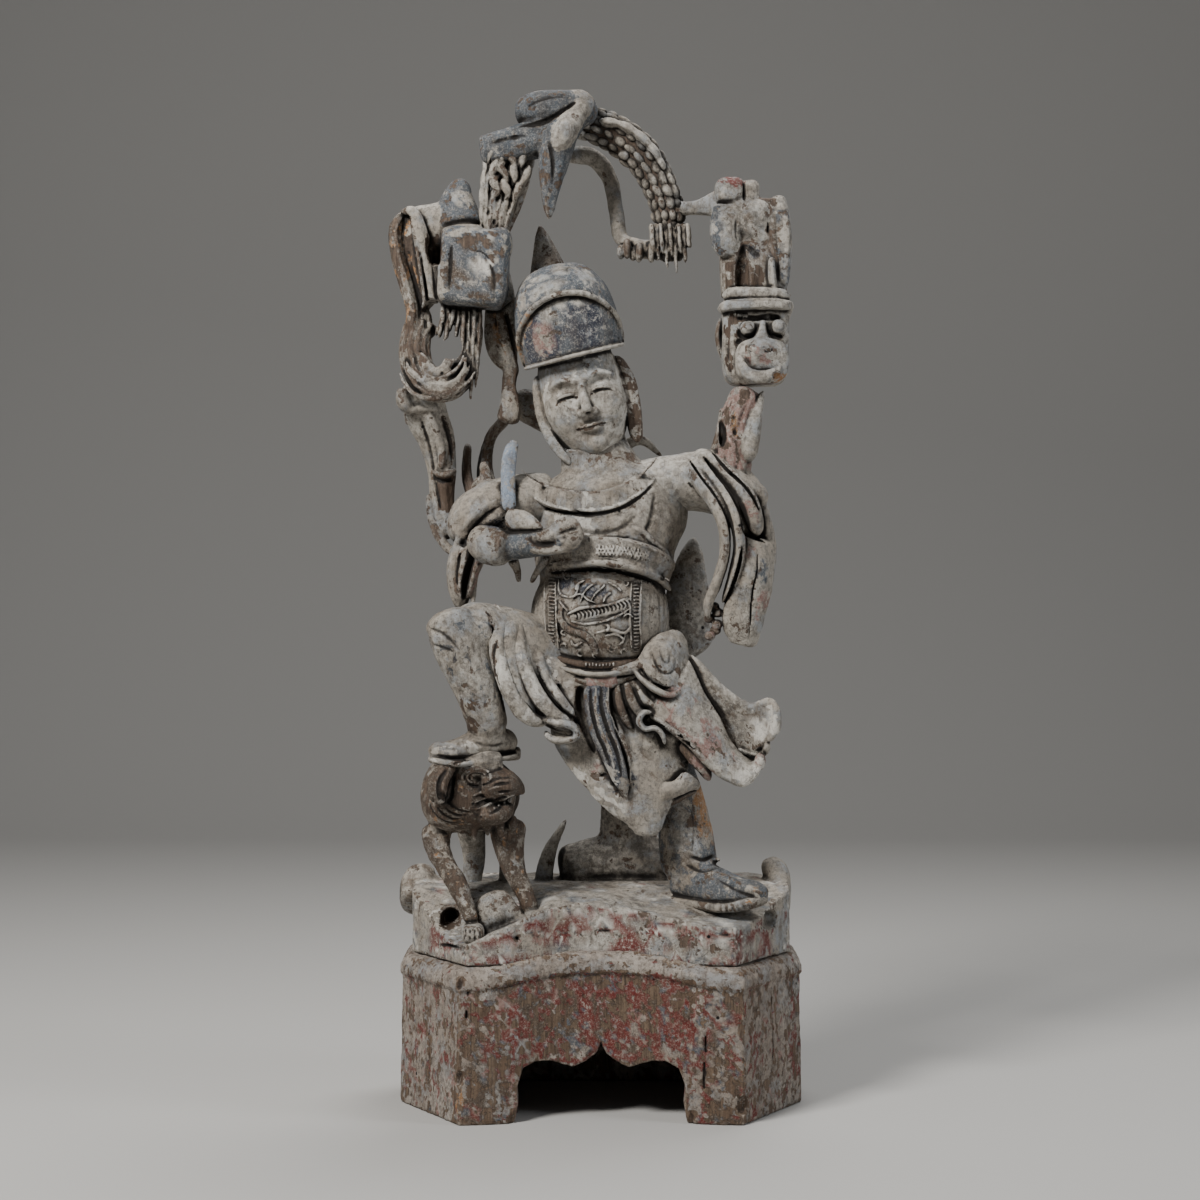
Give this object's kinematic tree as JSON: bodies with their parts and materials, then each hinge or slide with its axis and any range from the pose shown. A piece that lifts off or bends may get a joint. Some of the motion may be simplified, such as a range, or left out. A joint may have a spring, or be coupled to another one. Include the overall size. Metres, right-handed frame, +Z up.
{
  "type": "carved wooden deity figure",
  "caption": "Carved and painted wooden deity in robe and hat, one boot on a beast, under an arch of scaly locks, on a hollow footed plinth.",
  "frame": {"origin": "middle of the bounding box, at the underside of the plinth", "axes": "+Z up, -Y towards the viewer at the figure's front, +X to the viewer's right"},
  "size_m": [0.1836, 0.11, 0.4524],
  "materials": {
    "figure": "worn gesso and paint over carved wood, matt and dusty",
    "plinth": "worn dark red paint over wood, matt and dusty"
  },
  "bodies": {
    "root": {"figure": "figure", "plinth": "plinth"}
  },
  "joints": []
}
